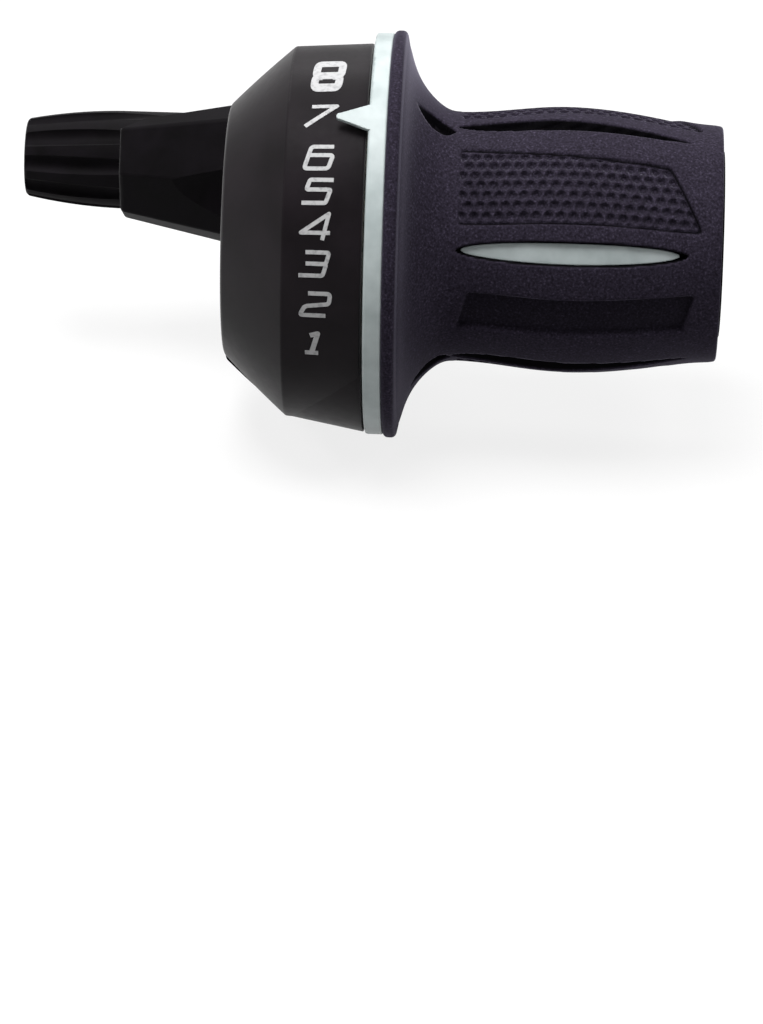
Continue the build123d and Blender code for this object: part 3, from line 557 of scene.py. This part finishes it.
# White paper under the part. The eye and reflections see it bright, and what it throws back is subdued.
paper = {"wide": 4000.0, "front": -2500.0, "back": 2500.0, "lit": (0.94, 0.98), "shade": "#8C8C8C",
         "glow": 0.82, "grain": 1.5}
floorZ = cadBox[0][2] / mm
floor = newPiece("paper_floor", [Vector((x, y, floorZ)) * mm for x, y in (
    (-paper["wide"], paper["front"]), (paper["wide"], paper["front"]),
    (paper["wide"], paper["back"]), (-paper["wide"], paper["back"]))], [(0, 1, 2, 3)])
material = bpy.data.materials.new("matt_white_paper")
material.use_nodes = True
tree = material.node_tree
tree.nodes.clear()
place = addNode(tree, "ShaderNodeTexCoord", {}, {}).outputs["Object"]
fibre = addNode(tree, "ShaderNodeTexNoise", {"Scale": perSize(paper["grain"]), "Detail": 3.0},
                {"Vector": place})
tone = addNode(tree, "ShaderNodeMapRange", spans((0.0, 1.0), paper["lit"]), {"Value": fibre.outputs["Fac"]})
sheet = addNode(tree, "ShaderNodeBsdfDiffuse", {}, {"Color": tone.outputs["Result"]})
shaded = addNode(tree, "ShaderNodeBsdfDiffuse", {"Color": linear(paper["shade"])}, {})
glow = addNode(tree, "ShaderNodeEmission", {"Strength": 1.0}, {})
seen = addNode(tree, "ShaderNodeLightPath", {}, {})
either = addNode(tree, "ShaderNodeMath", {"operation": "MAXIMUM"},
                 {0: seen.outputs["Is Camera Ray"], 1: seen.outputs["Is Glossy Ray"]})
either = addNode(tree, "ShaderNodeMath", {"operation": "MAXIMUM"},
                 {0: either.outputs["Value"], 1: seen.outputs["Is Transmission Ray"]})
bright = addNode(tree, "ShaderNodeMixShader", {"Fac": paper["glow"]},
                 {1: sheet.outputs["BSDF"], 2: glow.outputs["Emission"]})
mixed = addNode(tree, "ShaderNodeMixShader", {},
                {"Fac": either.outputs["Value"], 1: shaded.outputs["BSDF"], 2: bright.outputs["Shader"]})
addNode(tree, "ShaderNodeOutputMaterial", {}, {"Surface": mixed.outputs["Shader"]})
floor.data.materials.append(material)

# Soft light: a box overhead, weaker ones to its right and left, faint ones low in front, one behind for the
# upper edge, and a little even light all round
softboxes = {
    "overhead": {"at": (-80, -50, 640), "aim": (25, 0, 0), "wide": 420, "deep": 300, "watts": 4.7},
    "leftFill": {"at": (-440, -520, 130), "aim": (15, 0, 0), "wide": 420, "deep": 260, "watts": 0.12},
    "rightFill": {"at": (440, -520, 40), "aim": (35, 0, 0), "wide": 420, "deep": 260, "watts": 0.6},
    "rightTop": {"at": (480, -60, 520), "aim": (35, 0, 0), "wide": 360, "deep": 300, "watts": 1.2},
    "leftTop": {"at": (-480, -40, 460), "aim": (10, 0, 0), "wide": 360, "deep": 200, "watts": 1.2},
    "rearRim": {"at": (60, 520, 400), "aim": (25, 0, 0), "wide": 700, "deep": 180, "watts": 2.2},
}
for name, box in softboxes.items():
    lamp = bpy.data.lights.new(name, "AREA")
    lamp.shape = "RECTANGLE"
    lamp.size = box["wide"] * mm
    lamp.size_y = box["deep"] * mm
    lamp.energy = box["watts"]
    holder = bpy.data.objects.new(name, lamp)
    holder.location = Vector(box["at"]) * mm
    holder.rotation_euler = (Vector(box["aim"]) - Vector(box["at"])).to_track_quat("-Z", "Y").to_euler()
    bpy.context.scene.collection.objects.link(holder)
surround = {"colour": "#FFFFFF", "strength": 0.07}
world = bpy.data.worlds.new("studio")
world.use_nodes = True
world.node_tree.nodes["Background"].inputs["Color"].default_value = linear(surround["colour"])
world.node_tree.nodes["Background"].inputs["Strength"].default_value = surround["strength"]
bpy.context.scene.world = world
print("lights placed")

# Camera: long lens, 26 degrees above the rider's side, the bar axis tilted a little in the frame
view = {
    "centreX": 46.9, "away": 745.0, "above": 26.0, "tilt": 1.8, "focal": 5325.0,     # focal length in pixels
    "frame": (763, 1024), "seenAt": (563.0, 239.0), "sensor": 36.0, "nearest": 10.0,
}
rise = math.radians(view["above"])
target = Vector((view["centreX"], 0, 0))
toCamera = Vector((0, -math.cos(rise), math.sin(rise)))
aside = (view["seenAt"][0] - (view["frame"][0] - 1) / 2) / view["focal"]
down = (view["seenAt"][1] - (view["frame"][1] - 1) / 2) / view["focal"]
ray = Vector((aside, -down, -1.0)).normalized()
level = Matrix(((1, 0, 0), (0, math.sin(rise), math.cos(rise)), toCamera)).transposed()
level = level @ Matrix.Rotation(math.radians(view["tilt"]), 3, "Z")
level = level @ ray.rotation_difference(Vector((0, 0, -1))).to_matrix()
lens = bpy.data.cameras.new("long_lens")
lens.sensor_fit = "VERTICAL"
lens.sensor_height = view["sensor"]
lens.lens = view["focal"] / view["frame"][1] * view["sensor"]
lens.clip_start = view["nearest"] * mm
camera = bpy.data.objects.new("photo_camera", lens)
camera.matrix_world = Matrix.Translation((target + toCamera * view["away"]) * mm) @ level.to_4x4()
bpy.context.scene.collection.objects.link(camera)
bpy.context.scene.camera = camera
bpy.context.scene.view_settings.view_transform = "Standard"
print("camera set")
